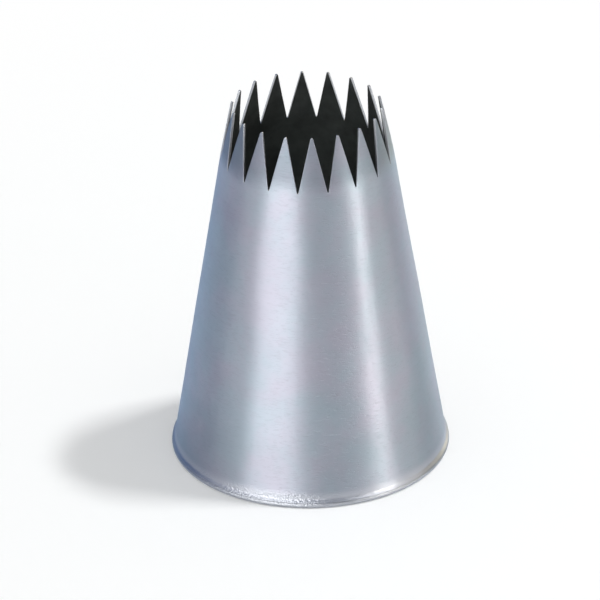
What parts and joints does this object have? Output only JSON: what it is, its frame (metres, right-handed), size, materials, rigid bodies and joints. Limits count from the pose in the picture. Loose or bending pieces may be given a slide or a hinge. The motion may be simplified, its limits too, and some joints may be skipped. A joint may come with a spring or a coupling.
{
  "type": "piping nozzle",
  "caption": "Open star piping nozzle: a brushed steel cone with a crown of pointed teeth cut into its narrow end, standing on a folded base rim.",
  "frame": {"origin": "on the nozzle's axis, in the plane of the rim's underside that it stands on", "axes": "+Z along the nozzle's axis from the wide end to the teeth, +Y through the middle of one tooth"},
  "size_m": [0.037, 0.037, 0.05],
  "materials": {
    "cone_steel": "satin stainless steel sheet with fine brushing round the cone",
    "rim_steel": "satin stainless steel sheet, folded and slightly rubbed along its edge"
  },
  "bodies": {
    "root": {"nozzle_cone": "cone_steel", "base_rim": "rim_steel"}
  },
  "joints": []
}
